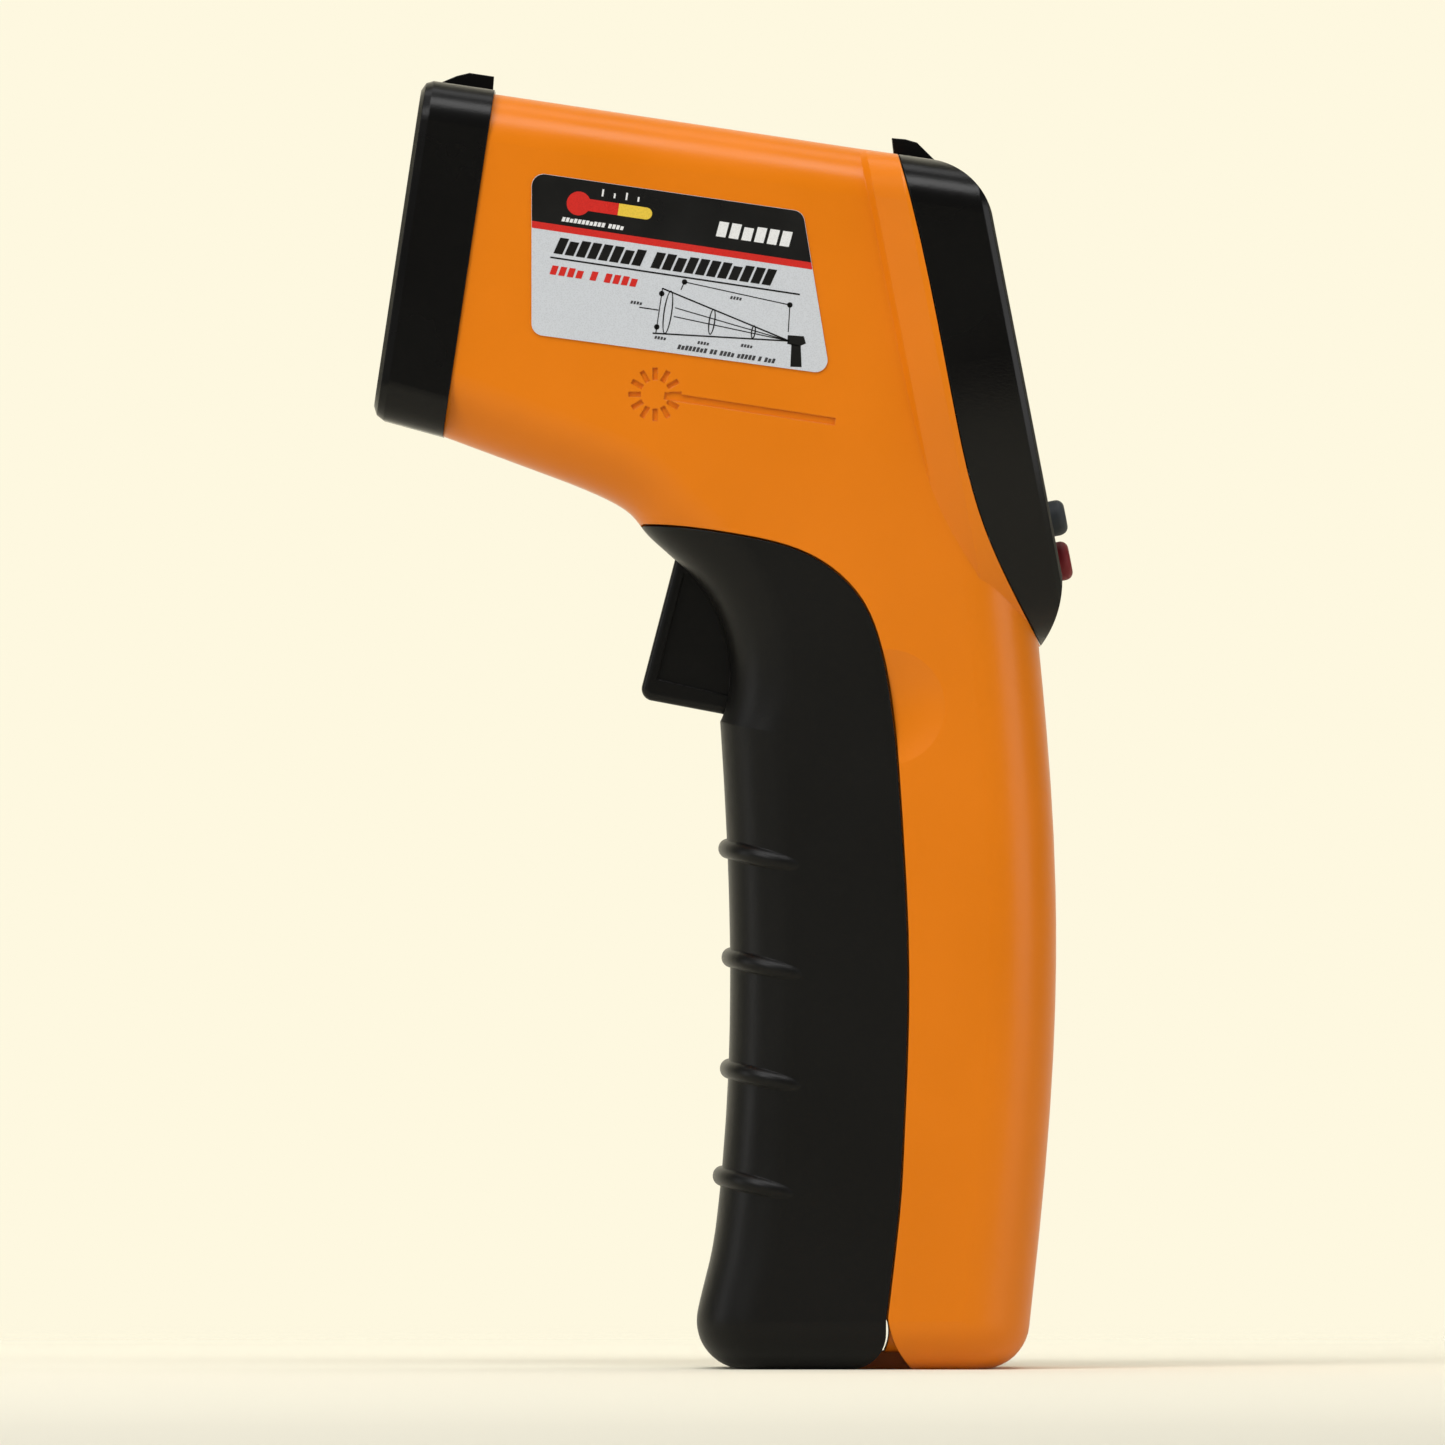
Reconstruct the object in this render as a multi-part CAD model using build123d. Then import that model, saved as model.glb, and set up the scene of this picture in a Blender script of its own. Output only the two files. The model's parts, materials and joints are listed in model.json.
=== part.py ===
"""Pistol-grip infrared thermometer, in millimetres.

Frame: the handle stands on Z = 0 with +Z up, the muzzle points to +X, and Y = 0 is the parting plane.
X is drawn from the middle of the handle's foot; every part is saved MIDDLE_X further back.
Three directions are used:
  world    X forward, Z up, for the handle and the trigger
  barrel   world turned about Y, so that s runs towards the muzzle and t runs up, square to the top line
  display  world turned about Y, so that u runs forward from the rear face and v runs up along it
"""

from build123d import *
import math
import os

# ---- driving dimensions
BARREL_TILT = 8.5          # the muzzle points this far above horizontal, degrees
DISPLAY_TILT = 11.0        # the rear face leans forward by this much, degrees
DISPLAY_AT = (-3.65, -0.48)            # X and Z of the display frame's origin
WALL = 2.2                 # housing wall
DOOR_GAP = 0.35            # between the door's inside and the housing under it
EDGE_GAP = 0.25            # between the door's edge and the housing's edge
TIP_GAP = 0.08             # the same at the middle of the door's tip
DOOR_WALL = WALL - DOOR_GAP

HANDLE_HALF = 16.4         # half width of the handle
BARREL_HALF = 18.0         # half width of the barrel
REAR_HALF = 21.5           # half width of the display end
TOP_T = 150.5              # height of the barrel's top line
BELLY_T = 107.4            # height of the barrel's underside at the nose
NOSE_S = 69.3              # where the housing ends and the nose cap starts
MUZZLE_S = 78.35           # front face of the nose cap
FACE_U = -39.5             # rear face of the display bezel
FLARE = ((-29.4, 0.0), (-25.6, 2.4), (-24.4, 4.1))      # u, and how much narrower than the end it is there
BASE_REAR, BASE_FRONT = -19.9, 21.0

TOP_ROUND, REAR_ROUND, FRONT_ROUND, BASE_ROUND = 6.0, 8.5, 8.0, 6.0

LASER_T = 142.6            # height of the laser's axis
SENSOR_T = 123.5           # height of the infrared sensor's axis
TUBE_R = 10.0              # lens tube

HINGE = (1.9, 4.5)         # axis of the battery door, X and Z
HINGE_CORNER = 4.5         # the door's lower rear corner is concentric with the hinge
STUB_R, STUB_HOLE_R, HINGE_BOSS_R = 1.5, 1.55, 2.35
SWING_R = 16.95            # the liner's lower front corner stays inside this radius about the hinge
TONGUE_HALF = 4.8          # half width of the housing's tongue in the door's floor
FLOOR_SLOT = 4.6           # how far in front of the hinge the door's floor is cut away for it
# Z of each grip rib, and the grip's front there
RIBS = ((65.0, 17.3), (51.4, 16.9), (37.5, 17.1), (24.1, 18.0))

PIVOT = (16.5, 103.0)      # axis of the trigger, X and Z
PIVOT_PIN_R, PIVOT_BORE_R = 1.25, 1.3
TRIGGER_HALF = 7.0
SLOT_HALF = 7.6

CELL_R, CELL_BODY, CELL_NUB, CELL_NUB_R = 5.25, 43.5, 1.0, 1.9
CELL_X, CELL_Y, CELL_Z = 8.0, 5.4, 12.9
CELL_TOP = CELL_Z + CELL_BODY + CELL_NUB
TRAY_Z = (10.4, 59.9)      # inside of the battery tray, bottom and top

# key, Y, v, half length, half height, and how far it stands out of the rear face
KEYS = (
    ("laser_key", 7.6, 100.9, 4.0, 2.2, 1.9),
    ("backlight_key", -7.6, 100.9, 4.0, 2.2, 1.9),
    ("mode_key", 0.0, 95.5, 4.4, 2.45, 1.5),
)
KEY_GAP = 0.15
WINDOW = (0.0, 125.0, 14.0, 12.4)      # the display's opening: Y, v, half width and half height
BOARD_SCREWS = ((17.2, 139.0), (-17.2, 139.0), (12.9, 107.6), (-12.9, 107.6))
SCREW_R, SCREW_HEAD_R, SCREW_BOSS_R = 1.15, 2.2, 3.3
SCREW_RECESS_Y, SCREW_TIP_Y = -7.5, 6.5

DIMPLE = (-2.9, 82.0, 7.6, 1.1)        # X, Z, radius and depth of the finger recess beside the door
BAY_Z = (8.7, 61.6)                    # the battery bay's opening in the liner
SWITCH = ((0.0, 8.0), (-3.2, 3.2), (87.9, 96.4))     # body of the trigger's switch
PLUNGER_R, PLUNGER_Z = 1.2, 92.0
BURST = (26.2, 121.6, 3.3)             # X, Z and radius of the engraved sunburst
BEAM = (14.4, 119.8, 21.5)             # X and Z of the middle of the engraved bar, and its length
LABEL = ((41.6, 149.3), (7.75, 144.4), (4.4, 124.1), (41.6, 129.1))

FAR = 60.0                 # longer than any half size, for cutting prisms
MIDDLE_X = 17.65           # the parts are saved with the origin under the middle of the overall length

os.makedirs("parts", exist_ok=True)
BARREL = Rot(0, -BARREL_TILT, 0)
DISPLAY = Pos(DISPLAY_AT[0], 0, DISPLAY_AT[1]) * Rot(0, DISPLAY_TILT, 0)


# ---- small helpers
def barrel_point(s, t):
    """World X and Z of a point given along and above the barrel."""
    a = math.radians(BARREL_TILT)
    return (s * math.cos(a) - t * math.sin(a), s * math.sin(a) + t * math.cos(a))


def display_point(u, v):
    """World X and Z of a point given square to and up the rear face."""
    a = math.radians(DISPLAY_TILT)
    x, z = DISPLAY_AT
    return (x + u * math.cos(a) + v * math.sin(a), z + v * math.cos(a) - u * math.sin(a))


def side_face(*edges):
    """A face drawn in the X Z plane."""
    return Plane.XZ * make_face(list(edges))


def prism(face, half):
    """A side face made solid, half to each side of the parting plane."""
    return extrude(face, half, both=True)


def inset_face(face, by):
    """A side face shrunk by this much, with its curved sides redrawn as splines."""
    if not by:
        return face
    edges = []
    for edge in offset(face, -by).edges():
        if edge.geom_type in (GeomType.LINE, GeomType.CIRCLE):
            edges.append(edge)
        else:
            knots = [edge @ (k / 4) for k in range(5)]
            edges.append(Spline(*knots, tangents=(edge % 0, edge % 1)))
    return make_face(edges)


def block(x, y, z):
    """A box between the two ends given for each direction."""
    size = (x[1] - x[0], y[1] - y[0], z[1] - z[0])
    centre = ((x[0] + x[1]) / 2, (y[0] + y[1]) / 2, (z[0] + z[1]) / 2)
    return Pos(*centre) * Box(*size)


def rod_x(r, x0, x1, y, z):
    """A cylinder along X."""
    return Pos((x0 + x1) / 2, y, z) * Rot(0, 90, 0) * Cylinder(r, x1 - x0)


def rod_y(r, y0, y1, x, z):
    """A cylinder along Y."""
    return Pos(x, (y0 + y1) / 2, z) * Rot(90, 0, 0) * Cylinder(r, y1 - y0)


def rod_z(r, z0, z1, x, y):
    """A cylinder along Z."""
    return Pos(x, y, (z0 + z1) / 2) * Cylinder(r, z1 - z0)


def cone_x(r0, r1, x0, x1, y, z):
    """A cone along X, of radius r0 at x0 and r1 at x1."""
    return Pos((x0 + x1) / 2, y, z) * Rot(0, 90, 0) * Cone(r0, r1, x1 - x0)


def slab_x(y, z, half_y, half_z, radius, x0, x1):
    """A plate square to X with rounded corners."""
    outline = RectangleRounded(2 * half_y, 2 * half_z, radius)
    return extrude(Plane.YZ.offset(x0) * Pos(y, z) * outline, x1 - x0)


def save(name, *shapes):
    """Writes one node from its solids."""
    solids = [solid for shape in shapes for solid in (Pos(-MIDDLE_X, 0, 0) * shape).solids()]
    export_step(Compound(children=solids) if len(solids) > 1 else solids[0], f"parts/{name}.step")


# ---- side outlines
def top_line():
    return Line(barrel_point(NOSE_S, TOP_T), barrel_point(9.5, TOP_T))


def back_line():
    """The handle's back, carried up inside the display end."""
    return Spline(
        barrel_point(9.5, TOP_T), (-18.3, 118), (-22.0, 87), (-23.45, 68.5), (-23.85, 51), (-23.1, 32.5),
        (-21.55, 15), (BASE_REAR, 0),
    )


def grip_line():
    """The handle's front from the foot up to the lip below the trigger."""
    return Spline(
        (BASE_FRONT, 0), (21.1, 6), (19.35, 13.6), (18.2, 21.5), (17.4, 31), (16.85, 48), (17.3, 67),
        (18.1, 80.8),
    )


def finger_line():
    """Round behind the trigger and out along the barrel's underside."""
    rise = math.radians(21)
    return Spline(
        (18.1, 80.8), (16.9, 85.5), (17.8, 92.5), (20.7, 98.0), (27.2, 104.2), (37.3, 110.75),
        tangents=((-0.5, 1), (math.cos(rise), math.sin(rise))),
    )


def core_face():
    """The handle and barrel from the side, without the nose cap."""
    return side_face(
        top_line(),
        back_line(),
        Line((BASE_REAR, 0), (BASE_FRONT, 0)),
        grip_line(),
        finger_line(),
        Line((37.3, 110.75), barrel_point(NOSE_S, BELLY_T)),
        Line(barrel_point(NOSE_S, BELLY_T), barrel_point(NOSE_S, TOP_T)),
    )


def width_prism(inset):
    """How wide the handle and barrel are at each height, run along X."""
    low, high = HANDLE_HALF - inset, BARREL_HALF - inset
    waist = Spline((low, 60), (low + 0.5, 92), (high, 120), tangents=((0, 1), (0, 1)))
    half = make_face([
        Line((0, -10), (low, -10)), Line((low, -10), (low, 60)), waist,
        Line((high, 120), (high, 175)), Line((high, 175), (0, 175)), Line((0, 175), (0, -10)),
    ])
    return extrude(Plane.YZ * (half + mirror(half, Plane.YZ)), 90, both=True)


def bezel_zone(grow):
    """Everything behind the joint between the housing and the display bezel."""
    top = barrel_point(18.4, TOP_T)
    joint = Spline(
        top, (-8.3, 134), (-11.2, 119), (-15.2, 104), (-21.9, 90.2), tangents=((-0.9, -3), (-0.5, -1)),
    )
    zone = side_face(
        joint, Line((-21.9, 90.2), (-45, 75)), Line((-45, 75), (-45, 175)), Line((-45, 175), (2, 175)),
        Line((2, 175), top),
    )
    return Pos(grow, 0, 0) * prism(zone, FAR)


def core_solid(inset):
    """The handle and barrel as one rounded solid, shrunk all round by inset."""
    solid = prism(inset_face(core_face(), inset), BARREL_HALF + 1) & width_prism(inset)
    lean = math.radians(BARREL_TILT)

    def along(p):
        return p.X * math.cos(lean) + p.Z * math.sin(lean)

    def is_top(p):
        return p.Z > 147 - inset and p.X > -8

    def is_back(p):
        return p.X < -10 and not is_top(p)

    def is_front(p):
        return p.X > 8 and p.Z < 120

    for keep, radius in ((is_back, REAR_ROUND), (is_top, TOP_ROUND), (is_front, FRONT_ROUND)):
        long_edges = [
            e for e in solid.edges()
            if abs((e @ 0.5).Y) > 11 and (e @ 0.5).Z > inset + 0.5 and keep(e @ 0.5)
            and min(along(e @ 0.1), along(e @ 0.9)) < NOSE_S - inset - 0.1
        ]
        solid = fillet(long_edges, radius - inset)
    base = [e for e in solid.edges() if max(abs((e @ k).Z - inset) for k in (0, 0.5, 1)) < 0.01]
    return fillet(base, BASE_ROUND - inset)


def door_face():
    """The battery door from the side: the grip, its cheeks and the bridge over the trigger."""
    x, z = HINGE
    r = HINGE_CORNER
    return side_face(
        Spline(
            (27.6, 105.2), (16, 104.0), (7, 101.5), (0.6, 96), (-2.3, 88), (-4.4, 69), (-5.25, 47),
            (-4.5, 25.5), (x - r, z + 2), tangents=((-1, 0), (0.12, -1)),
        ),
        Line((x - r, z + 2), (x - r, z)),
        ThreePointArc((x - r, z), (x - r * math.sqrt(0.5), z - r * math.sqrt(0.5)), (x, z - r)),
        Line((x, z - r), (40, z - r)),
        Line((40, z - r), (40, 98)),
        Line((40, 98), (27.6, 105.2)),
    )


def notch_face():
    """The small gap at the base between the door's and the housing's rounded corners."""
    return side_face(
        Line((4, -1), (-5.9, -1)),
        Line((-5.9, -1), (-5.9, 0)),
        ThreePointArc((-5.9, 0), (-4.05, 2.5), (-2.85, 6.4)),
        Line((-2.85, 6.4), (4, 6.4)),
        Line((4, 6.4), (4, -1)),
    )


# ---- display end
def display_section(u, half, inset):
    """The display end cut square to u: a rounded top, straight sides and a narrowing foot."""
    lean = math.radians(DISPLAY_TILT)
    rise = math.tan(math.radians(BARREL_TILT + DISPLAY_TILT))
    x, z = barrel_point(18.4, TOP_T - inset)
    x, z = x - DISPLAY_AT[0], z - DISPLAY_AT[1]
    top = x * math.sin(lean) + z * math.cos(lean) + (u - x * math.cos(lean) + z * math.sin(lean)) * rise
    h, r, foot = half - inset, TOP_ROUND - inset, 85.2 + inset
    q = r * (1 - math.sqrt(0.5))
    side = Spline((h, 122), (h - 0.9, 110), (h - 2.9, 100), (h - 6.5, 91.5), tangents=((0, -1), (-1, -1.5)))
    outline = make_face([
        Line((0, top), (h - r, top)), ThreePointArc((h - r, top), (h - q, top - q), (h, top - r)),
        Line((h, top - r), (h, 122)), side,
        Spline((h - 6.5, 91.5), (0, foot), tangents=((-1, -1.5), (-1, 0))), Line((0, foot), (0, top)),
    ])
    return Plane.YZ.offset(u) * (outline + mirror(outline, Plane.YZ))


def display_side():
    """The silhouette of the display end from the side."""
    start, front = barrel_point(14.3, TOP_T), barrel_point(45, TOP_T)
    high, low = display_point(FACE_U, 138.5), display_point(FACE_U, 93.6)
    return side_face(
        Line(front, start),
        ThreePointArc(start, (-12.95, 148.75), high),
        Line(high, low),
        ThreePointArc(low, (-24.0, 94.4), (-21.9, 90.2)),
        Line((-21.9, 90.2), (-12, 90.2)),
        Line((-12, 90.2), front),
    )


def display_block(inset):
    """The whole display end: an eased rear rim, straight sides, then a flare with a step at its front."""
    steps = ((FACE_U, 1.0), (FACE_U + 0.3, 0.4), (FACE_U + 1.0, 0.0))
    sections = [display_section(u, REAR_HALF, inset + ease) for u, ease in steps]
    sections += [display_section(u, REAR_HALF - less, inset) for u, less in FLARE]
    solid = loft(sections[:2], ruled=True)
    for near, far in zip(sections[1:], sections[2:]):
        solid += loft([near, far], ruled=True)
    return DISPLAY * solid & prism(inset_face(display_side(), inset), FAR)


def face_plate(y, v, half_y, half_v, radius, u0, u1):
    """A rounded plate lying parallel to the rear face, from u0 forward to u1."""
    return DISPLAY * slab_x(y, v, half_y, half_v, radius, u0, u1)


def face_rod(r, u0, u1, y, v):
    """A round bar standing square to the rear face."""
    return DISPLAY * rod_x(r, u0, u1, y, v)


# ---- the envelope: outer form, form under the door, and the cavity
OUTER = core_solid(0)
UNDER = core_solid(WALL)
CAVITY = core_solid(2 * WALL - 0.2)
END_OUTER = display_block(0)
END_INNER = display_block(WALL)
DOOR_ROOM = prism(inset_face(door_face(), -EDGE_GAP), FAR)
LINER_ROOM = prism(inset_face(door_face(), -2.5), FAR)


# ---- housing halves
SCREW_SPOTS = (
    barrel_point(59, 109.9), barrel_point(24, 144.4), (4.0, 109.5), (-14.2, 80.0), (-13.8, 47.0),
    (-13.2, 14.0),
)


def housing_shell():
    """The housing before it is split: walls, the liner under the door and the flare to the bezel."""
    notch = prism(notch_face(), FAR) - block((-20, 20), (-TONGUE_HALF, TONGUE_HALF), (-5, 20))
    shell = OUTER - UNDER - DOOR_ROOM - notch
    liner = (UNDER - CAVITY) & LINER_ROOM
    flare = END_OUTER - END_INNER - UNDER
    body = (shell + liner + flare) - bezel_zone(0)
    spigot = slab_x(0, 129.2, 16.0, 18.8, 3.5, NOSE_S - 2, NOSE_S + 2)
    spigot -= slab_x(0, 129.2, 14.4, 17.2, 2.0, 60, 80)
    body += BARREL * spigot
    body -= BARREL * rod_x(TUBE_R + 0.1, 60, 80, 0, SENSOR_T)
    body -= BARREL * rod_x(3.1, 60, 80, 0, LASER_T)
    body -= block((10, 34), (-SLOT_HALF, SLOT_HALF), (81.0, 101.9))
    body -= block((10, 20.4), (-SLOT_HALF, SLOT_HALF), (101, 103.7))
    body -= block((9.5, 25), (-12.4, 12.4), BAY_Z)
    x, z = HINGE
    ring = rod_y(HINGE_CORNER + 0.35, -FAR, FAR, x, z) - rod_y(HINGE_BOSS_R, -FAR, FAR, x, z)
    body -= ring & block((x - 8, x + 0.5), (-FAR, FAR), (z - 8, z + 5.2))
    body -= rod_y(STUB_HOLE_R, -FAR, FAR, x, z)
    body -= block((x + 12, x + 21), (-FAR, FAR), (z - 3, z)) - rod_y(SWING_R, -FAR, FAR, x, z)
    body += (OUTER - UNDER) & block((x - 6, x + 0.3), (-TONGUE_HALF, TONGUE_HALF), (-1, z))
    tip = DOOR_ROOM - prism(inset_face(door_face(), -TIP_GAP), FAR)
    body += tip & OUTER & block((24.0, 30.0), (-SLOT_HALF, SLOT_HALF), (104.0, 106.5))
    x, z, r, depth = DIMPLE
    ball = (r * r + depth * depth) / (2 * depth)
    for side in (1, -1):
        body -= Pos(x, side * (HANDLE_HALF + 0.35 + ball - depth), z) * Sphere(ball) - DOOR_ROOM
    return body


def housing_half(body, side):
    """One half with its screw bosses, trigger pivot and cross walls; only the right one has recesses."""
    inside = core_solid(1.0)
    y0, y1 = (0, BARREL_HALF) if side > 0 else (-BARREL_HALF, 0)
    half = body & block((-60, 100), (0, FAR) if side > 0 else (-FAR, 0), (-10, 180))
    posts = [rod_y(SCREW_BOSS_R, y0, y1, x, z) for x, z in SCREW_SPOTS]
    for post in posts:
        half += post & inside
    near, far = sorted((side * SLOT_HALF, side * BARREL_HALF))
    pivot = rod_y(3.0, near, far, *PIVOT)
    cradle_wall = block((-1.2, 0.9), (y0, y1), (9.4, 62.0))
    switch_wall = block((-2.0, 0.0), (y0, y1), (82.5, 98.5))
    for inner in (pivot, cradle_wall, switch_wall):
        half += inner & UNDER
    half -= rod_y(PIVOT_PIN_R + 0.03, -11, 11, *PIVOT)
    for x, z in SCREW_SPOTS:
        half -= rod_y(SCREW_R + 0.05, -FAR, SCREW_TIP_Y + 0.3, x, z)
        if side < 0:
            half -= rod_y(SCREW_HEAD_R + 0.25, -FAR, SCREW_RECESS_Y, x, z)
    return max(half.solids(), key=lambda solid: solid.volume)


def housing_screw(x, z):
    """A cross-head self-tapping screw, driven from the right."""
    head = rod_y(SCREW_HEAD_R, SCREW_RECESS_Y - 1.6, SCREW_RECESS_Y, x, z)
    cross = block((x - 1.3, x + 1.3), (SCREW_RECESS_Y - 1.6, SCREW_RECESS_Y - 0.7), (z - 0.25, z + 0.25))
    turned = Pos(x, 0, z) * Rot(0, 90, 0) * Pos(-x, 0, -z) * cross
    return head + rod_y(SCREW_R, SCREW_RECESS_Y, SCREW_TIP_Y, x, z) - cross - turned


def side_mark():
    """The engraved sunburst and bar, as a solid to cut into either side."""
    x, z, length = BEAM
    mark = Pos(x, 0, z) * Rot(0, -8.64, 0) * Box(length, 0.6, 0.9)
    x, z, r = BURST
    for k in range(12):
        ray = Pos(0, 0, r - 0.75) * Box(0.6, 0.6, 1.5)
        mark += Pos(x, 0, z) * Rot(0, 30 * k, 0) * ray
    return mark


# ---- battery door
def grip_rib(z, front):
    """A round finger rib bent about the grip's front, sinking into the cheeks at both ends."""
    side = ((front - 9.6, 14.9), (front - 7.6, 15.5), (front - 2.6, 13.6), (front - 0.6, 8.8))
    left_side = [(x, y, z) for x, y in side]
    right_side = [(x, -y, z) for x, y in reversed(side)]
    path = Spline(*left_side, (front - 0.25, 0, z), *right_side)
    rib = sweep(Plane(origin=path @ 0, z_dir=path % 0) * Circle(1.25), path=path)
    return Pos(front, 0, z) * Rot(0, -14, 0) * Pos(-front, 0, -z) * rib


def battery_door():
    """Grip front, cheeks, floor and the bridge over the trigger, in one moulding with its hinge stubs."""
    door = OUTER & prism(door_face(), FAR)
    for z, front in RIBS:
        door += grip_rib(z, front)
    door -= core_solid(DOOR_WALL)
    door -= block((10, 34), (-SLOT_HALF, SLOT_HALF), (81.0, 101.9))
    x, z = HINGE
    slot = TONGUE_HALF + 0.3
    door -= block((x - 8, x + FLOOR_SLOT), (-slot, slot), (-1, z))
    door -= rod_y(HINGE_BOSS_R + 0.3, -14.5, 14.5, x, z)
    door = max(door.solids(), key=lambda solid: solid.volume)
    for side in (1, -1):
        door += rod_y(STUB_R, 12.35, 15.4, *HINGE) if side > 0 else rod_y(STUB_R, -15.4, -12.35, *HINGE)
    return door


# ---- trigger
def trigger_side():
    """The trigger from the side: a slanted front, a rounded toe and a round boss at the top."""
    x, z = PIVOT
    return side_face(
        Line((23.7, 101.2), (27.85, 85.3)),
        ThreePointArc((27.85, 85.3), (27.6, 84.0), (26.5, 83.4)),
        Line((26.5, 83.4), (17.5, 81.7)),
        ThreePointArc((17.5, 81.7), (15.0, 81.8), (13.0, 82.7)),
        Line((13.0, 82.7), (x - 3, z)),
        ThreePointArc((x - 3, z), (x, z + 3), (x + 3, z)),
        Line((x + 3, z), (19.9, 101.4)),
        Line((19.9, 101.4), (23.7, 101.2)),
    )


def trigger():
    """A curved lever with a raised rim in front, hung from a pin at its top."""
    lever = prism(trigger_side(), TRIGGER_HALF)
    rims = [
        e for e in lever.edges()
        if (e @ 0.5).X > 20 and abs((e @ 0.5).Y) > TRIGGER_HALF - 0.1 and (e @ 0.5).Z < 99
    ]
    lever = fillet(rims, 0.9)
    for side in (1, -1):
        pocket = side_face(
            Line((22.6, 99.4), (26.0, 86.1)), Line((26.0, 86.1), (17.0, 84.0)),
            Line((17.0, 84.0), (16.0, 99.4)), Line((16.0, 99.4), (22.6, 99.4)),
        )
        lever -= Pos(0, side * (TRIGGER_HALF + 0.2), 0) * prism(pocket, 1.0)
    return lever - rod_y(PIVOT_BORE_R, -20, 20, *PIVOT)


def trigger_spring():
    """A compression coil between the cross wall and the trigger."""
    coil = Helix(pitch=1.9, height=12.1, radius=1.6)
    wire = sweep((Plane(origin=coil @ 0, z_dir=coil % 0) * Circle(0.25)), path=coil)
    return Pos(0.35, 0, 85.4) * Rot(0, 90, 0) * wire


def trigger_switch():
    """The switch behind the trigger, with two lugs and a bore for its plunger."""
    lugs = block((2.0, 3.4), (-5.0, 5.0), (95.0, 98.0))
    return block(*SWITCH) + lugs - rod_x(PLUNGER_R + 0.05, 1.0, 9.0, 0, PLUNGER_Z)


# ---- nose
def nose_section(s, ease):
    """The nose cap cut square to the barrel; its underside rises towards the muzzle."""
    low, high = 107.3 + 0.12 * (s - NOSE_S), 151.0
    outline = RectangleRounded(2 * (18.4 - ease), high - low - 2 * ease, 5.0 - ease)
    return Plane.YZ.offset(s) * Pos(0, (low + high) / 2) * outline


def nose_cap():
    """Black end cap: two apertures, hidden bosses round them, and the front sight on top."""
    steps = ((NOSE_S, 0.0), (MUZZLE_S - 1.4, 0.0), (MUZZLE_S - 0.5, 0.4), (MUZZLE_S, 1.4))
    sections = [nose_section(s, ease) for s, ease in steps]
    outer = loft(sections[:2], ruled=True)
    for near, far in zip(sections[1:], sections[2:]):
        outer += loft([near, far], ruled=True)
    hollow = slab_x(0, 129.2, 16.1, 18.9, 3.6, NOSE_S - 1, MUZZLE_S - 2.2)
    cap = outer - hollow
    cap += rod_x(12.8, NOSE_S + 2.4, MUZZLE_S - 1, 0, SENSOR_T)
    cap += rod_x(4.6, NOSE_S + 2.4, MUZZLE_S - 1, 0, LASER_T)
    cap -= cone_x(8.0, 11.4, MUZZLE_S - 5.5, MUZZLE_S + 0.01, 0, SENSOR_T)
    cap -= rod_x(8.0, NOSE_S, MUZZLE_S, 0, SENSOR_T)
    cap -= cone_x(2.6, 3.6, MUZZLE_S - 1.2, MUZZLE_S + 0.01, 0, LASER_T)
    cap -= rod_x(2.2, NOSE_S, MUZZLE_S, 0, LASER_T) + rod_x(3.05, NOSE_S, MUZZLE_S - 3.2, 0, LASER_T)
    sight = side_face(
        Line((69.5, 150.2), (77.6, 150.2)), Line((77.6, 150.2), (74.3, 152.2)),
        Line((74.3, 152.2), (72.8, 152.8)),
        Line((72.8, 152.8), (69.7, 152.8)), Line((69.7, 152.8), (69.5, 150.2)),
    )
    cap += prism(sight, 1.4)
    return BARREL * cap


def lens_tube():
    """A black tube with a flange behind the bulkhead, a lens seat in front and the sensor's plate behind."""
    tube = rod_x(TUBE_R, 42, 70.6, 0, SENSOR_T) + rod_x(13.0, 64.8, 67.0, 0, SENSOR_T)
    tube += rod_x(7.5, 39, 42, 0, SENSOR_T)
    tube -= rod_x(7.4, 44, 80, 0, SENSOR_T)
    tube -= rod_x(8.55, 66.5, 80, 0, SENSOR_T)
    tube -= rod_x(4.2, 30, 50, 0, SENSOR_T)
    for y in (6.0, -6.0):
        tube += rod_x(1.1, 36.0, 39.5, y, SENSOR_T)
    return BARREL * tube


def ir_lens():
    """An infrared lens with a rounded front."""
    disc = rod_x(8.5, 66.6, 68.8, 0, SENSOR_T)
    return BARREL * fillet(disc.faces().sort_by(Axis.X)[-1].edges(), 1.4)


def main_board():
    """The board that carries the display, the keys' switches and the controller."""
    half = [
        (0, 91.6), (10.4, 91.6), (14.2, 98.8), (14.8, 106), (14.8, 135.4), (18.8, 135.4), (18.8, 142.4),
        (0, 142.4),
    ]
    right = make_face(Polyline(*half, close=True))
    board = extrude(Plane.YZ.offset(-33.2) * (right + mirror(right, Plane.YZ)), 1.6)
    for y, v in BOARD_SCREWS:
        board -= rod_x(1.0, -40, -20, y, v)
    return DISPLAY * board


def wire(points, radius, gauge):
    """A round wire laid along the points, with rounded corners."""
    path = FilletPolyline(*points, radius=radius)
    return sweep(Plane(origin=path @ 0, z_dir=path % 0) * Circle(gauge), path=path)


def coil(x, y, z0, z1, turns):
    """A conical battery spring."""
    path = Helix(pitch=(z1 - z0 - 0.6) / turns, height=z1 - z0 - 0.6, radius=3.6, cone_angle=0)
    return Pos(x, y, z0 + 0.3) * sweep(Plane(origin=path @ 0, z_dir=path % 0) * Circle(0.3), path=path)


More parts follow.
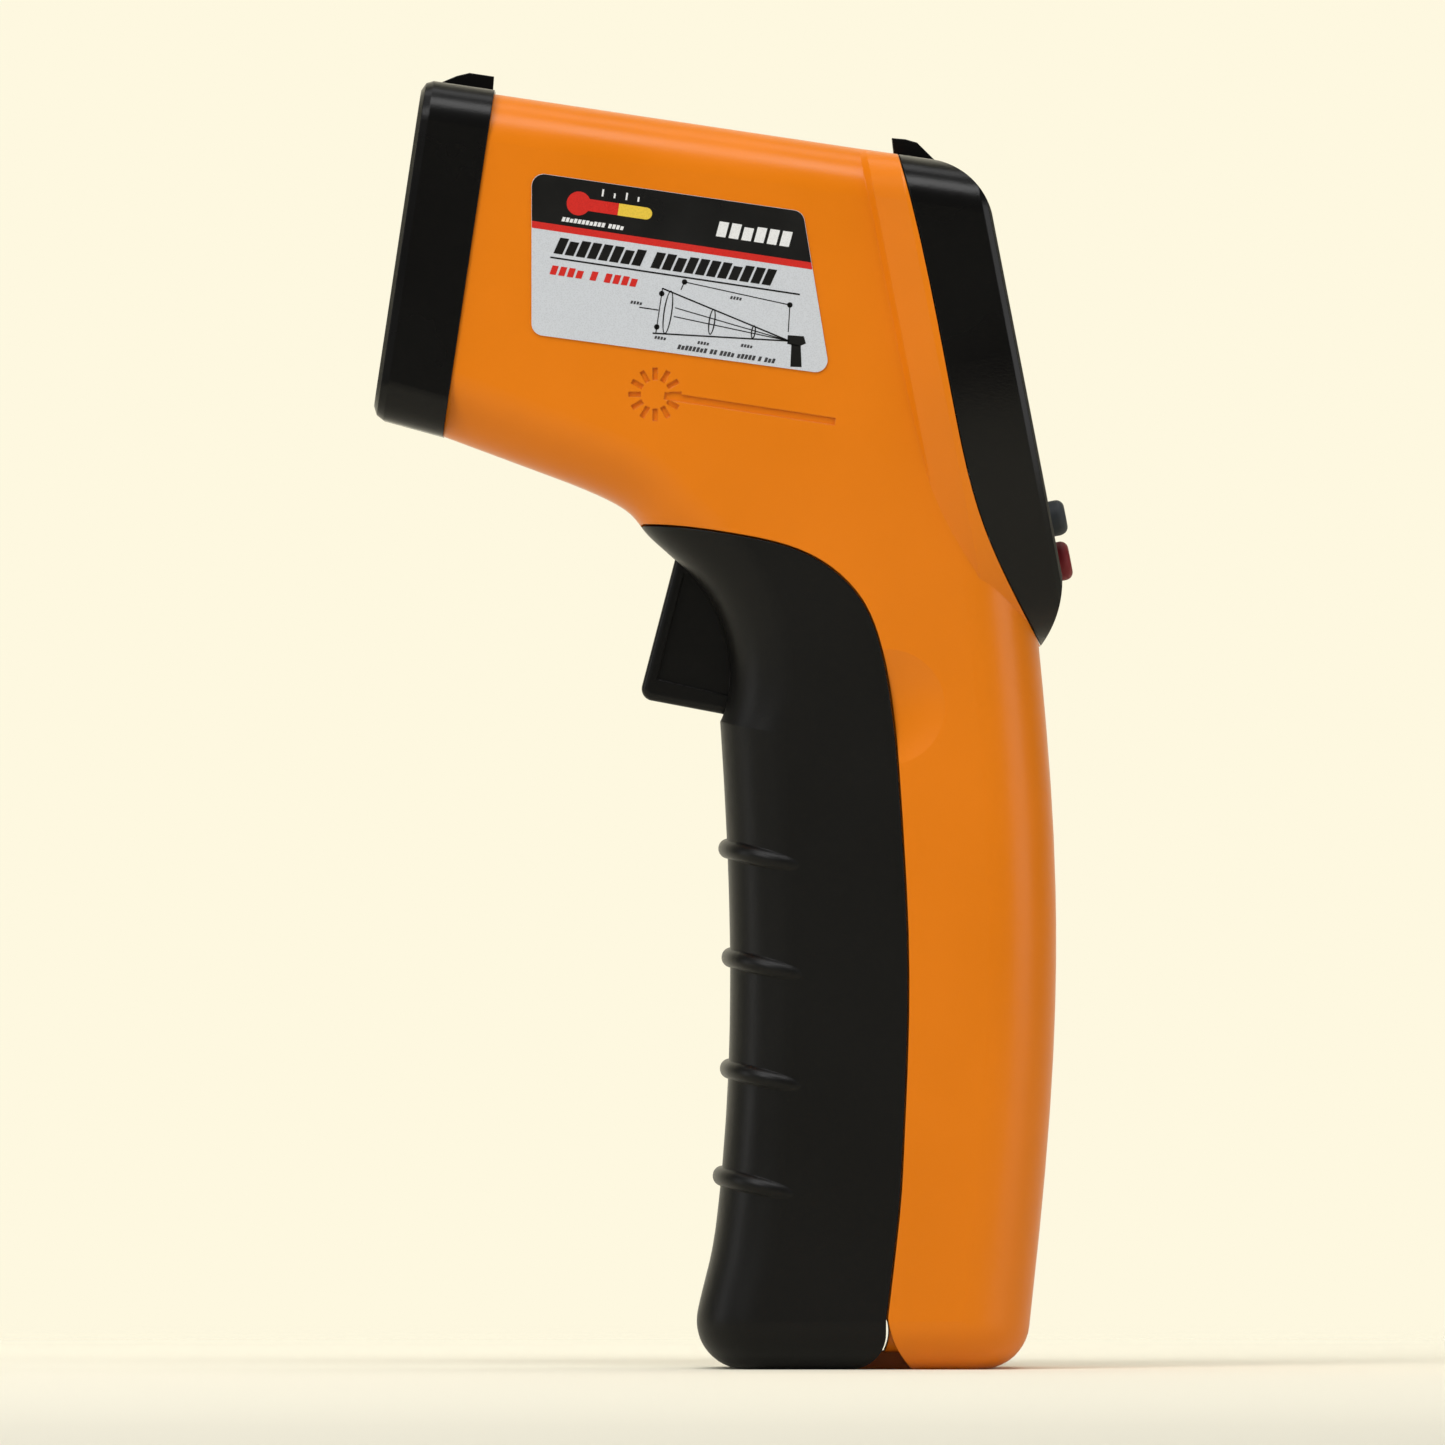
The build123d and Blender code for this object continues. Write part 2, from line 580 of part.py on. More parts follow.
# ---- display end
def rear_bezel():
    """The black display end: a shell with a window opening, key holes, board posts and the rear sight."""
    whole = END_OUTER + (OUTER & prism(display_side(), FAR))
    bezel = (whole & bezel_zone(-0.15)) - END_INNER - UNDER
    y, v, half_y, half_v = WINDOW
    bezel -= face_plate(y, v, half_y + 1.6, half_v + 1.6, 2.2, -45, FACE_U + 1.3)
    bezel -= face_plate(y, v, half_y, half_v, 1.2, -45, -30)
    for name, y, v, half_y, half_v, proud in KEYS:
        bezel -= face_plate(y, v, half_y + KEY_GAP, half_v + KEY_GAP, half_v, -45, -30)
    for y, v in BOARD_SCREWS:
        bezel += face_rod(1.8, -38.5, -33.25, y, v)
        bezel -= face_rod(0.75, -37.0, -33.0, y, v)
    sight = side_face(
        Line((13.2, 150.2), (18.1, 150.2)), Line((18.1, 150.2), (18.1, 150.6)),
        Line((18.1, 150.6), (18.9, 150.6)),
        Line((18.9, 150.6), (19.4, 152.5)), Line((19.4, 152.5), (17.7, 152.6)),
        Line((17.7, 152.6), (16.2, 152.4)), Line((16.2, 152.4), (13.2, 150.2)),
    )
    notch = block((10, 22), (-1.4, 1.4), (151.2, 160))
    return bezel + BARREL * (prism(sight, 5.5) - notch)


def key(y, v, half_y, half_v, proud):
    """A key with a rounded cap and a flange that keeps it behind the face."""
    cap = slab_x(y, v, half_y, half_v, half_v - 0.05, FACE_U - proud, -36.6)
    cap = fillet(cap.faces().sort_by(Axis.X)[0].edges(), 1.0)
    flange = slab_x(y, v, half_y + 0.45, half_v + 0.45, half_v, -36.9, -36.2)
    return DISPLAY * (cap + flange)


def key_switch(y, v):
    """A small square switch with four tinned feet, open in front for its plunger."""
    body = slab_x(y, v, 2.5, 2.5, 0.4, -35.4, -33.2) - rod_x(1.6, -36, -33.4, y, v)
    for side_y in (-2.8, 2.8):
        for side_v in (-1.6, 1.6):
            foot = sorted((y + side_y, y + side_y * 0.8))
            body += block((-33.7, -33.2), foot, (v + side_v - 0.35, v + side_v + 0.35))
    return DISPLAY * body


def controller_chip():
    """The controller: a flat package with eight pins along each side."""
    chip = face_plate(0, 121.0, 5.0, 5.0, 0.3, -31.5, -30.0)
    for k in range(8):
        step = k - 3.5
        for side in (-5.0, 5.0):
            out = sorted((side, side * 1.2))
            chip += DISPLAY * block((-31.6, -31.0), out, (120.8 + step, 121.2 + step))
            chip += DISPLAY * block((-31.6, -31.0), (step - 0.2, step + 0.2), (121 + out[0], 121 + out[1]))
    return chip


def board_screw(y, v):
    """A slotted screw that holds the board to a post of the bezel."""
    head = face_rod(1.6, -31.6, -30.5, y, v) - face_plate(y, v, 1.1, 0.2, 0.1, -31.0, -30)
    return head + face_rod(0.7, -36.5, -31.6, y, v)


# ---- sensor
def thermopile():
    """The sensor's can with its aperture, rim and four legs."""
    can = rod_x(4.15, 38.6, 43.2, 0, SENSOR_T) + rod_x(4.6, 37.8, 38.6, 0, SENSOR_T)
    can -= rod_x(2.4, 42.8, 50, 0, SENSOR_T)
    for y in (1.8, -1.8):
        for t in (1.8, -1.8):
            can += rod_x(0.25, 33.4, 38, y, SENSOR_T + t)
    return BARREL * can


def sensor_board():
    """The round-cornered board behind the sensor, with a hole for each leg."""
    board = slab_x(0, SENSOR_T, 10.5, 8.0, 1.0, 34.4, 36.0)
    for y in (1.8, -1.8):
        for t in (1.8, -1.8):
            board -= rod_x(0.3, 30, 40, y, SENSOR_T + t)
    return BARREL * board


# ---- batteries
def battery_tray():
    """The open tray for two cells side by side, with a divider and a block at each contact."""
    z0, z1 = TRAY_Z
    tray = block((1.0, 12.2), (-12.15, 12.15), (z0 - 1.2, z1 + 1.2))
    tray -= block((2.3, 20), (-10.75, 10.75), TRAY_Z)
    tray += block((2.0, 5.0), (-0.35, 0.35), (z0, z1))
    tray += block((2.0, 11.0), (-CELL_Y - 3.5, -CELL_Y + 3.5), (z0, CELL_Z - 0.45))
    tray += block((2.0, 11.0), (CELL_Y - 3.5, CELL_Y + 3.5), (CELL_TOP + 0.45, z1))
    return tray


def battery_cell(y, z):
    """A cell whose body starts at z, with its nub at the end nearer the middle of the other contact."""
    body = rod_z(CELL_R, z, z + CELL_BODY, CELL_X, y)
    body = fillet(body.edges().filter_by(GeomType.CIRCLE), 0.5)
    return body + rod_z(CELL_NUB_R, CELL_Z, CELL_TOP, CELL_X, y)


# ---- wiring
def battery_lead(y):
    """A lead from the tray's top, behind the trigger's switch, to the foot of the main board."""
    z = TRAY_Z[1]
    return wire([(5, y, z + 1.3), (5, y, 70), (-6, y, 79), (-6, y, 97), (-16.5, y, 98.7)], 3.0, 0.8)


def laser_lead(y):
    """A lead from the laser module back to the main board."""
    start, bend = barrel_point(52.9, LASER_T), barrel_point(43, LASER_T)
    points = [(*start, y), (*bend, y), (18, 138.0, y), (4, 138.0, y), (-8.0, 142.6, y)]
    return Plane.XZ * wire(points, 2.5, 0.5)


def sensor_ribbon():
    """The flat cable from the sensor board to the main board."""
    start = barrel_point(34.3, 119.5)
    line = FilletPolyline((*start, 0), (8, 121.0, 0), (0, 133.3, 0), (-9.0, 134.8, 0), radius=3)
    path = Plane.XZ * line
    band = Plane(origin=path @ 0, x_dir=(0, 1, 0), z_dir=path % 0) * Rectangle(8, 0.4)
    return sweep(band, path=path)


# ---- save: housing, door and trigger
shell = housing_shell()
left = housing_half(shell, 1)
right = housing_half(shell, -1)
mark = side_mark()
save("housing_left", left - Pos(0, BARREL_HALF, 0) * mark)
save("housing_right", right - Pos(0, -BARREL_HALF, 0) * mark)
save("housing_screws", *[housing_screw(x, z) for x, z in SCREW_SPOTS])
save("battery_door", battery_door())
save("trigger", trigger())
save("trigger_pin", rod_y(PIVOT_PIN_R, -10.9, 10.9, *PIVOT))
save("trigger_spring", trigger_spring())
save("trigger_switch", trigger_switch())
save("trigger_switch_plunger", rod_x(PLUNGER_R, 3.8, 13.05, 0, PLUNGER_Z))
label = make_face(Polyline(*LABEL, close=True))
label = Plane.XZ * fillet(label.vertices(), 1.5)
save("side_label_left", Pos(0, BARREL_HALF, 0) * extrude(label, -0.2))
save("side_label_right", Pos(0, -BARREL_HALF, 0) * extrude(label, 0.2))

# ---- save: nose and optics
save("nose_cap", nose_cap())
save("lens_tube", lens_tube())
save("ir_lens", ir_lens())
save("lens_ring", BARREL * (rod_x(8.5, 69.4, 70.6, 0, SENSOR_T) - rod_x(7.3, 60, 80, 0, SENSOR_T)))
save("thermopile_sensor", thermopile())
save("sensor_board", sensor_board())
save("laser_module", BARREL * (rod_x(3.0, 53, 68.6, 0, LASER_T) - cone_x(0.8, 1.6, 67.4, 68.7, 0, LASER_T)))
bracket = block((56.0, 61.0), (-5.5, 5.5), (138.6, 148.2)) - rod_x(3.05, 50, 70, 0, LASER_T)
save("laser_bracket", BARREL * bracket)
save("laser_window", BARREL * rod_x(3.0, MUZZLE_S - 4.2, MUZZLE_S - 3.2, 0, LASER_T))

# ---- save: display end
y, v, half_y, half_v = WINDOW
save("rear_bezel", rear_bezel())
save("lcd_window", face_plate(y, v, half_y + 1.55, half_v + 1.55, 2.15, FACE_U + 0.2, FACE_U + 1.3))
glass = face_plate(y, v, 15.0, 14.0, 0.5, -37.2, -36.3) + face_plate(y, v, 15.0, 12.4, 0.5, -36.3, -35.4)
save("lcd_glass", glass)
save("lcd_backlight", face_plate(y, v, 14.4, 12.4, 0.8, -35.35, -33.25))
save("zebra_strips", *[face_plate(y, v + side * 13.2, 13.5, 0.6, 0.2, -36.25, -33.25) for side in (1, -1)])
save("main_board", main_board())
for name, y, v, half_y, half_v, proud in KEYS:
    save(name, key(y, v, half_y, half_v, proud))
    save(name + "_plunger", face_rod(1.5, -36.2, -34.0, y, v))
save("key_switches", *[key_switch(y, v) for name, y, v, half_y, half_v, proud in KEYS])
save("controller_chip", controller_chip())
save("buzzer", face_rod(4.2, -31.6, -28.2, 10.4, 134.0) - face_rod(0.9, -28.8, -28.0, 10.4, 134.0))
save("board_screws", *[board_screw(y, v) for y, v in BOARD_SCREWS])

# ---- save: batteries and wiring
save("battery_tray", battery_tray())
save("battery_cell_left", battery_cell(CELL_Y, CELL_Z))
save("battery_cell_right", battery_cell(-CELL_Y, CELL_Z + CELL_NUB))
lower_coil = coil(CELL_X, CELL_Y, TRAY_Z[0], CELL_Z, 2.5)
upper_coil = coil(CELL_X, -CELL_Y, CELL_TOP, TRAY_Z[1], 2.5)
save("battery_spring_contacts", lower_coil, upper_coil)
lower_plate = block((4.5, 11.5), (-CELL_Y - 3.2, -CELL_Y + 3.2), (CELL_Z - 0.45, CELL_Z))
upper_plate = block((4.5, 11.5), (CELL_Y - 3.2, CELL_Y + 3.2), (CELL_TOP, CELL_TOP + 0.45))
save("battery_plate_contacts", lower_plate, upper_plate)
save("battery_lead_red", battery_lead(4.5))
save("battery_lead_black", battery_lead(-4.5))
save("laser_leads", *[laser_lead(y) for y in (1.3, -1.3)])
save("sensor_ribbon", sensor_ribbon())
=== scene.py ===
import json
import math

import bpy
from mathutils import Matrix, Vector

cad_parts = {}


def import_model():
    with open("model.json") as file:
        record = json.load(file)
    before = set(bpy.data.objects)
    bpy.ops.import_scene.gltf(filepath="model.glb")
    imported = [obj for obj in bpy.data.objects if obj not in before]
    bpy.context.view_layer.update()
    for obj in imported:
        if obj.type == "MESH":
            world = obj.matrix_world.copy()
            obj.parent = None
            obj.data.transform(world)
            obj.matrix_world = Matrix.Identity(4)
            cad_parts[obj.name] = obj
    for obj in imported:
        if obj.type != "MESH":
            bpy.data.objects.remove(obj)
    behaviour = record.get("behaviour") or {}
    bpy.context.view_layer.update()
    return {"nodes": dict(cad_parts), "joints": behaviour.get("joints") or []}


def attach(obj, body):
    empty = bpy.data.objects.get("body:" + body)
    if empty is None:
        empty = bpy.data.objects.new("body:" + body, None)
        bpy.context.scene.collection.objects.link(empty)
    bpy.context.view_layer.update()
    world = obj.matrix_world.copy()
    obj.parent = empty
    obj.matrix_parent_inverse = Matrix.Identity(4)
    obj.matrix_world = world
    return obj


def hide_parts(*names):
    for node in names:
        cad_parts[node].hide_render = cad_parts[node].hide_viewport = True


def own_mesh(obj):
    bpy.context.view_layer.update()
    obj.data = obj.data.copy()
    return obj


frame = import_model()
nodes = frame["nodes"]

# The drawing's frames, in millimetres. X is drawn MIDDLE_X further forward than in the row frame, which is
# found from the trigger's pivot. The display frame is tilted back, and its u runs forward and v up its face.
TRIGGER_PIVOT_X = 16.5
TRIGGER_JOINT = next(joint for joint in frame["joints"] if joint["name"] == "trigger_pull")
MIDDLE_X = TRIGGER_PIVOT_X - 1000 * TRIGGER_JOINT["pos_m"][0]
BARREL_TILT = math.radians(8.5)
DISPLAY_TILT = math.radians(11.0)
DISPLAY_AT = (-3.65, -0.48)


def world(x, y, z):
    """A drawn point in metres of the row frame."""
    return ((x - MIDDLE_X) / 1000, y / 1000, z / 1000)


def display(u, y, v):
    """A point of the display's own frame, in metres of the row frame."""
    c, s = math.cos(DISPLAY_TILT), math.sin(DISPLAY_TILT)
    return world(DISPLAY_AT[0] + u * c + v * s, y, DISPLAY_AT[1] + v * c - u * s)


# ---------------------------------------------------------------- materials
class Shader:
    """A principled material with short helpers for its node tree."""

    def __init__(self, name, **constants):
        self.material = bpy.data.materials.new(name)
        self.material.use_nodes = True
        self.nodes = self.material.node_tree.nodes
        self.links = self.material.node_tree.links
        self.nodes.clear()
        out = self.add("ShaderNodeOutputMaterial")
        self.bsdf = self.add("ShaderNodeBsdfPrincipled")
        self.link(self.bsdf.outputs[0], out.inputs[0])
        self.where = self.add("ShaderNodeTexCoord").outputs["Object"]
        for socket, value in constants.items():
            self.bsdf.inputs[socket.replace("_", " ")].default_value = value

    def add(self, kind, **settings):
        node = self.nodes.new(kind)
        for key, value in settings.items():
            setattr(node, key, value)
        return node

    def link(self, a, b):
        self.links.new(a, b)

    def noise(self, scale, detail=3.0, stretch=None, rough=0.5):
        """A noise value, finer with scale, drawn out along an axis by stretch."""
        where = self.where
        if stretch:
            mapping = self.add("ShaderNodeMapping")
            mapping.inputs["Scale"].default_value = stretch
            self.link(where, mapping.inputs["Vector"])
            where = mapping.outputs[0]
        node = self.add("ShaderNodeTexNoise")
        node.inputs["Scale"].default_value = scale
        node.inputs["Detail"].default_value = detail
        node.inputs["Roughness"].default_value = rough
        self.link(where, node.inputs["Vector"])
        return node.outputs["Fac"]

    def remap(self, value, low, high, start=0.3, end=0.7):
        """The value taken from start..end, where most noise lies, to low..high."""
        node = self.add("ShaderNodeMapRange")
        node.inputs["From Min"].default_value = start
        node.inputs["From Max"].default_value = end
        node.inputs["To Min"].default_value = low
        node.inputs["To Max"].default_value = high
        self.link(value, node.inputs["Value"])
        return node.outputs[0]

    def mix(self, factor, a, b):
        """Colour a where the factor is 0, and b where it is 1."""
        node = self.add("ShaderNodeMix", data_type="RGBA")
        self.link(factor, node.inputs[0])
        for socket, colour in ((6, a), (7, b)):
            if isinstance(colour, tuple):
                node.inputs[socket].default_value = (*colour, 1)
            else:
                self.link(colour, node.inputs[socket])
        return node.outputs[2]

    def relief(self, height, distance, edge):
        """Bump from a height, over edges that are softened by this radius."""
        bump = self.add("ShaderNodeBump")
        bump.inputs["Strength"].default_value = 1.0
        bump.inputs["Distance"].default_value = distance
        self.link(height, bump.inputs["Height"])
        if edge:
            bevel = self.add("ShaderNodeBevel", samples=4)
            bevel.inputs["Radius"].default_value = edge
            self.link(bevel.outputs[0], bump.inputs["Normal"])
        self.link(bump.outputs[0], self.bsdf.inputs["Normal"])

    def bands(self, value, stops):
        """Plain bands of colour, each from its stop to the next one."""
        node = self.add("ShaderNodeValToRGB")
        ramp = node.color_ramp
        while len(ramp.elements) < len(stops):
            ramp.elements.new(0.5)
        for element, (at, colour) in zip(ramp.elements, stops):
            element.position = at
            element.color = (*colour, 1)
        ramp.interpolation = "CONSTANT"
        self.link(value, node.inputs[0])
        return node.outputs[0]

    def axis(self, index):
        """One coordinate of the point, in metres: 0 for X, 1 for Y, 2 for Z."""
        node = self.add("ShaderNodeSeparateXYZ")
        self.link(self.where, node.inputs[0])
        return node.outputs[index]


PLASTIC_GRAIN = 0.00028
SOFT_EDGE = 0.0001


def plastic(name, colour, rough, spec=0.3, depth=0.00001, edge=0.00022, drift=0.03, spread=0.05):
    """Moulded plastic: spark-eroded grain, a slow drift of tone, patchy gloss and worn-soft edges."""
    s = Shader(name, Specular_IOR_Level=spec)
    wide = s.noise(42.0, 4.0)
    fine = s.noise(1 / PLASTIC_GRAIN, 2.0, rough=0.6)
    dark = tuple(c * (1 - drift) for c in colour)
    light = tuple(min(1.0, c * (1 + drift)) for c in colour)
    s.link(s.mix(s.remap(wide, 0, 1), dark, light), s.bsdf.inputs["Base Color"])
    s.link(s.remap(wide, rough - spread, rough + spread), s.bsdf.inputs["Roughness"])
    s.relief(fine, depth, edge)
    return s.material


def metal(name, colour, rough, stretch=(1, 1, 25)):
    """Metal with fine scratches one way and slightly dulled patches."""
    s = Shader(name, Metallic=1.0)
    lines = s.noise(700.0, 4.0, stretch)
    s.link(s.mix(s.remap(lines, 0, 1), tuple(c * 0.82 for c in colour), colour), s.bsdf.inputs["Base Color"])
    s.link(s.remap(lines, rough * 0.75, rough * 1.35), s.bsdf.inputs["Roughness"])
    s.relief(lines, 0.000004, SOFT_EDGE)
    return s.material


def pane(name, colour, rough, alpha):
    """A clear or tinted pane with faint smears."""
    s = Shader(name, Alpha=alpha, Base_Color=(*colour, 1))
    s.link(s.remap(s.noise(110.0, 6.0), rough * 0.4, rough * 2.2), s.bsdf.inputs["Roughness"])
    return s.material


CELL_ENDS = (0.0129, 0.0574)


def cell_sleeve():
    """A printed sleeve over a steel can: a copper-coloured shoulder, a dark body and a thin ring."""
    steel, dark, darker = (0.55, 0.55, 0.56), (0.012, 0.016, 0.03), (0.014, 0.018, 0.034)
    copper, rim, line = (0.6, 0.26, 0.07), (0.6, 0.6, 0.6), (0.55, 0.55, 0.5)
    s = Shader("cell_sleeve", Specular_IOR_Level=0.5, Coat_Weight=0.4, Coat_Roughness=0.2)
    height = s.remap(s.axis(2), 0, 1, *CELL_ENDS)
    speck = s.noise(1500.0, 2.0)
    bands = s.bands(height, [
        (0.0, steel), (0.012, dark), (0.2, dark), (0.205, line), (0.225, dark), (0.70, darker),
        (0.705, copper), (0.975, copper), (0.98, rim),
    ])
    tint = s.mix(s.remap(speck, 0, 0.12), bands, (0.5, 0.5, 0.5))
    s.link(tint, s.bsdf.inputs["Base Color"])
    s.link(s.remap(s.noise(60.0), 0.22, 0.38), s.bsdf.inputs["Roughness"])
    s.bsdf.inputs["Metallic"].default_value = 0.55
    s.relief(speck, 0.000003, SOFT_EDGE)
    return s.material


def board_mask():
    """Green solder mask with tracks showing through as a lighter tone and a few bare pads."""
    s = Shader("solder_mask", Specular_IOR_Level=0.5, Coat_Weight=0.3, Coat_Roughness=0.15)
    tracks = s.add("ShaderNodeTexVoronoi", feature="F1", distance="CHEBYCHEV")
    tracks.inputs["Scale"].default_value = 420.0
    s.link(s.where, tracks.inputs["Vector"])
    distance = tracks.outputs["Distance"]
    green = s.mix(s.remap(distance, 0, 1, 0.36, 0.42), (0.008, 0.085, 0.03), (0.004, 0.05, 0.018))
    pads = s.mix(s.remap(distance, 1, 0, 0.03, 0.05), green, (0.7, 0.66, 0.5))
    s.link(pads, s.bsdf.inputs["Base Color"])
    s.link(s.remap(s.noise(300.0), 0.2, 0.4), s.bsdf.inputs["Roughness"])
    s.relief(distance, 0.00002, SOFT_EDGE)
    return s.material


def film(name, colour, rough=0.3):
    """Printed label film: faint ink screen dots and a slightly rippled gloss."""
    s = Shader(name, Specular_IOR_Level=0.35)
    dots = s.add("ShaderNodeTexVoronoi", feature="F1")
    dots.inputs["Scale"].default_value = 5200.0
    s.link(s.where, dots.inputs["Vector"])
    dark = tuple(c * 0.86 for c in colour)
    screen = s.remap(dots.outputs["Distance"], 0, 1, 0.1, 0.6)
    s.link(s.mix(screen, dark, colour), s.bsdf.inputs["Base Color"])
    s.link(s.remap(s.noise(160.0), rough - 0.06, rough + 0.08), s.bsdf.inputs["Roughness"])
    s.relief(s.noise(300.0), 0.000006, 0)
    return s.material


ORANGE = plastic("orange_shell", (0.76, 0.195, 0.0004), 0.34, spec=0.3, drift=0.035)
BLACK = plastic("black_textured", (0.0009, 0.0008, 0.0007), 0.27, spec=0.26, depth=0.000012)
GRIP = plastic("black_satin", (0.0030, 0.0029, 0.0026), 0.38, spec=0.22, depth=0.000012)
TRIGGER = plastic("black_trigger", (0.0014, 0.0013, 0.0011), 0.30, spec=0.24, depth=0.000008)
GREY_KEY = plastic("grey_rubber", (0.032, 0.037, 0.042), 0.6)
RED_KEY = plastic("red_rubber", (0.17, 0.006, 0.010), 0.5)
STEEL = metal("zinc_plate", (0.62, 0.62, 0.64), 0.3)
BRASS = metal("brass_turned", (0.75, 0.52, 0.2), 0.25, stretch=(25, 1, 1))
CAN = metal("plated_can", (0.75, 0.74, 0.7), 0.2)
PCB = board_mask()
CHIP = plastic("chip_package", (0.02, 0.02, 0.022), 0.45)
WHITE = plastic("white_diffuser", (0.8, 0.8, 0.77), 0.45)
ZEBRA = plastic("contact_rubber", (0.6, 0.6, 0.58), 0.6, drift=0.2)
CLEAR = pane("clear_pane", (0.9, 0.93, 0.92), 0.06, 0.16)
LCD = film("display_glass", (0.27, 0.31, 0.23), 0.22)
LENS = plastic("infrared_lens", (0.02, 0.02, 0.024), 0.12, spec=0.6, depth=0.000001, edge=0.0, spread=0.03)
CELL = cell_sleeve()
RED_WIRE = plastic("red_insulation", (0.45, 0.01, 0.01), 0.45)
BLACK_WIRE = plastic("black_insulation", (0.012, 0.012, 0.012), 0.45)
LABEL = film("label_film", (0.60, 0.63, 0.68))
INK = {
    "black": film("ink_black", (0.004, 0.004, 0.004)), "red": film("ink_red", (0.62, 0.022, 0.016)),
    "yellow": film("ink_yellow", (0.78, 0.55, 0.06)), "white": film("ink_white", (0.78, 0.79, 0.8)),
    "grey": film("ink_grey", (0.05, 0.05, 0.055)),
}
SEGMENT = film("display_segment", (0.035, 0.045, 0.035), 0.3)

LOOKS = {
    "housing_left": ORANGE, "housing_right": ORANGE, "housing_screws": STEEL, "nose_cap": BLACK,
    "lens_tube": BLACK, "ir_lens": LENS, "lens_ring": BLACK, "thermopile_sensor": CAN,
    "sensor_board": PCB, "sensor_ribbon": WHITE, "laser_module": BRASS, "laser_bracket": BLACK,
    "laser_window": CLEAR, "laser_leads": RED_WIRE, "rear_bezel": BLACK, "lcd_window": CLEAR,
    "lcd_glass": LCD, "lcd_backlight": WHITE, "zebra_strips": ZEBRA, "main_board": PCB,
    "key_switches": CHIP, "controller_chip": CHIP, "buzzer": CHIP, "board_screws": STEEL,
    "laser_key": GREY_KEY, "backlight_key": GREY_KEY, "mode_key": RED_KEY, "laser_key_plunger": WHITE,
    "backlight_key_plunger": WHITE, "mode_key_plunger": WHITE, "trigger": TRIGGER, "trigger_pin": STEEL,
    "trigger_spring": STEEL, "trigger_switch": CHIP, "trigger_switch_plunger": WHITE,
    "battery_door": GRIP, "battery_tray": BLACK, "battery_cell_left": CELL, "battery_cell_right": CELL,
    "battery_spring_contacts": STEEL, "battery_plate_contacts": STEEL, "battery_lead_red": RED_WIRE,
    "battery_lead_black": BLACK_WIRE, "side_label_left": LABEL, "side_label_right": LABEL,
}
for name, look in LOOKS.items():
    nodes[name].data.materials.clear()
    nodes[name].data.materials.append(look)


def return_spring():
    """The trigger's coil: a copy of the CAD spring with its own mesh, attached to the housing in the CAD
    spring's place.
    """
    coil = bpy.data.objects.new("return_spring", nodes["trigger_spring"].data.copy())
    bpy.context.scene.collection.objects.link(coil)
    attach(coil, "housing")
    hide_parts("trigger_spring")
    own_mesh(coil)


return_spring()


# ---------------------------------------------------------------- flat printing
class Print:
    """Flat shapes of several inks laid over each other in one mesh."""

    def __init__(self, place):
        self.place = place          # turns (a, b, layer) into a point of the row frame
        self.verts, self.faces, self.inks, self.names = [], [], [], []

    def shape(self, ink, points, layer=1):
        """One filled outline; a higher layer lies over a lower one."""
        if ink not in self.names:
            self.names.append(ink)
        start = len(self.verts)
        self.verts += [self.place(a, b, layer) for a, b in points]
        self.faces.append(list(range(start, start + len(points))))
        self.inks.append(self.names.index(ink))

    def line(self, ink, a, b, width, layer=2):
        dx, dy = b[0] - a[0], b[1] - a[1]
        k = width / 2 / math.hypot(dx, dy)
        nx, ny = -dy * k, dx * k
        one_side = [(a[0] + nx, a[1] + ny), (b[0] + nx, b[1] + ny)]
        other_side = [(b[0] - nx, b[1] - ny), (a[0] - nx, a[1] - ny)]
        self.shape(ink, one_side + other_side, layer)

    def ring(self, ink, at, rx, ry, width, layer=2, count=28):
        for k in range(count):
            p, q = 2 * math.pi * k / count, 2 * math.pi * (k + 1) / count
            self.shape(ink, [
                (at[0] + rx * math.cos(p), at[1] + ry * math.sin(p)),
                (at[0] + rx * math.cos(q), at[1] + ry * math.sin(q)),
                (at[0] + (rx - width) * math.cos(q), at[1] + (ry - width) * math.sin(q)),
                (at[0] + (rx - width) * math.cos(p), at[1] + (ry - width) * math.sin(p)),
            ], layer)

    def disc(self, ink, at, r, layer=2, count=24):
        self.shape(ink, [
            (at[0] + r * math.cos(2 * math.pi * k / count), at[1] + r * math.sin(2 * math.pi * k / count))
            for k in range(count)
        ], layer)

    def finish(self, name, body, materials):
        mesh = bpy.data.meshes.new(name)
        mesh.from_pydata(self.verts, [], self.faces)
        for ink in self.names:
            mesh.materials.append(materials[ink])
        for polygon, ink in zip(mesh.polygons, self.inks):
            polygon.material_index = ink
        mesh.update()
        thing = bpy.data.objects.new(name, mesh)
        bpy.context.scene.collection.objects.link(thing)
        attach(thing, body)


def words(art, ink, at, counts, size, gap, height, slant):
    """A line of plain slanted blocks in groups, standing in for words."""
    a, b = at
    for count in counts:
        for k in range(count):
            tall = height * (1.0 if (k * 7 + count) % 5 else 0.86)
            lean = slant * tall
            corners = [(a, b), (a + size, b), (a + size + lean, b + tall), (a + lean, b + tall)]
            art.shape(ink, corners, layer=2)
            a += size + gap
        a += size * 0.9


# the label's corners as drawn along and across the barrel, its printed face, and the header's depth
LABEL_FRONT_LOW, LABEL_FRONT_TOP = (41.6, 129.1), (41.6, 149.3)
LABEL_REAR_TOP, LABEL_REAR_LOW = (7.75, 144.4), (4.4, 124.1)
LABEL_FACE = 18.2
LABEL_LAYER = 0.012
LABEL_CORNER_R = 1.53
LABEL_MARGIN = 0.04
HEADER, STRIPE = 6.0, 0.85


